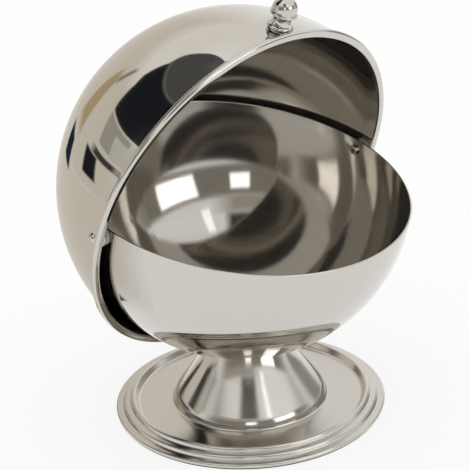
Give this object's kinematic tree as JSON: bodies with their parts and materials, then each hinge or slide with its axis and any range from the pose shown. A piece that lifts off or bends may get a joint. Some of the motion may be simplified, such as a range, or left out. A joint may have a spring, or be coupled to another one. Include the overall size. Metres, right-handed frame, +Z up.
{
  "type": "capsule canister",
  "caption": "Polished steel globe on a trumpet foot; the upper half is a roll-top lid with a ball knob, turning on side rivets over an open bowl.",
  "frame": {"origin": "middle of the foot, on the table", "axes": "+Z up out of the foot, -Y the front that the bowl's opening leans to, +X to the right seen from the front; the lid's pivot axis is parallel to X"},
  "size_m": [0.1536, 0.1445, 0.1787],
  "materials": {
    "bowl_steel": "mirror-polished outside, satin inside",
    "lid_steel": "mirror-polished outside, duller inside",
    "foot_steel": "mirror-polished",
    "knob_steel": "turned and polished",
    "rivet_steel": "polished",
    "clamp_steel": "blanked, zinc-plated",
    "fastener_steel": "plain stainless",
    "spacer_plastic": "translucent white nylon",
    "ring_rubber": "matt black"
  },
  "bodies": {
    "base": {"bowl": "bowl_steel", "foot": "foot_steel", "base_ring": "ring_rubber", "bowl_stud": "fastener_steel", "foot_clamp": "clamp_steel", "lock_washer": "fastener_steel", "foot_nut": "fastener_steel", "pivot_rivets": "rivet_steel", "pivot_spacers": "spacer_plastic"},
    "roll_lid": {"lid": "lid_steel", "knob": "knob_steel", "knob_base": "knob_steel", "knob_stud": "fastener_steel"}
  },
  "joints": [
    {"name": "lid_roll", "type": "hinge", "parent": "base", "child": "roll_lid", "pos_m": [0, 0, 0.0972], "axis": [1, 0, 0], "range_deg": [-3.6, 81.5]}
  ]
}
